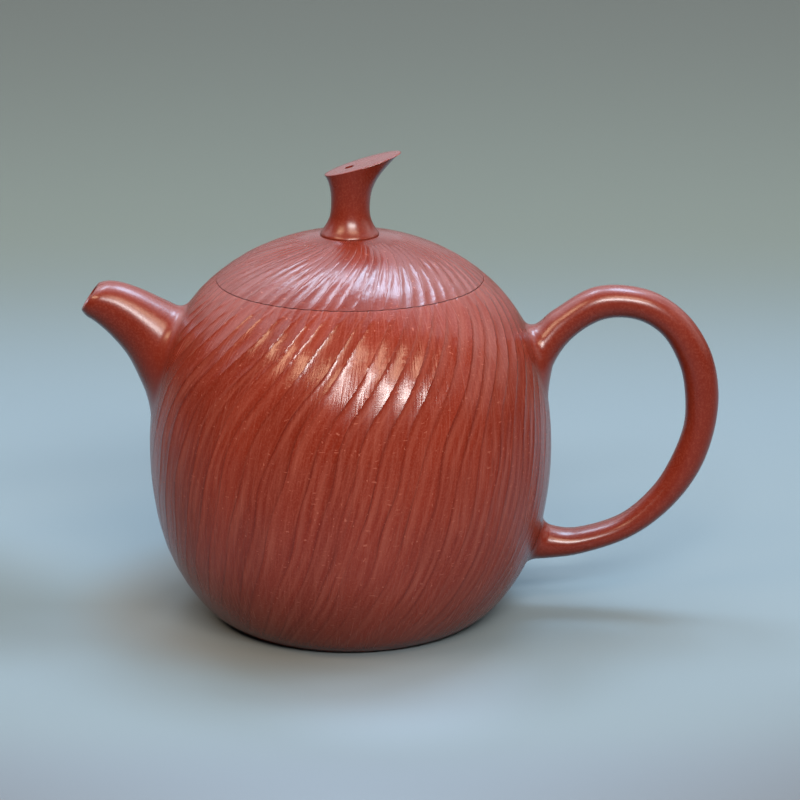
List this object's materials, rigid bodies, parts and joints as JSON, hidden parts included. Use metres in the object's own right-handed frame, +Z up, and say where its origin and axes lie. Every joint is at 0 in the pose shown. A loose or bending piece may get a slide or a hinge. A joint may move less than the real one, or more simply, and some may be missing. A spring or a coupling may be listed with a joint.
{
  "type": "yixing clay teapot",
  "caption": "Round-bodied clay teapot with a flush lift-off lid, a short tapering spout, a loop handle and a slant-cut knob.",
  "frame": {"origin": "centre of the foot, in the plane that the pot stands on", "axes": "+Z up along the body's axis, -X towards the spout, +X towards the handle"},
  "size_m": [0.1327, 0.0842, 0.0989],
  "materials": {
    "clay": "unglazed, satin, knife-carved",
    "burnished_clay": "unglazed, burnished smooth"
  },
  "bodies": {
    "pot": {"body_wall": "clay", "shoulder_ring": "clay", "base_disc": "clay", "mouth_collar": "clay", "spout": "burnished_clay", "spout_strainer": "clay", "handle": "burnished_clay"},
    "lid": {"lid_disc": "clay", "lid_flange": "clay", "knob": "burnished_clay"}
  },
  "joints": [
    {"name": "lid_lift", "type": "slide", "parent": "pot", "child": "lid", "axis": [0, 0, 1], "range_m": [0, 0.06]}
  ]
}
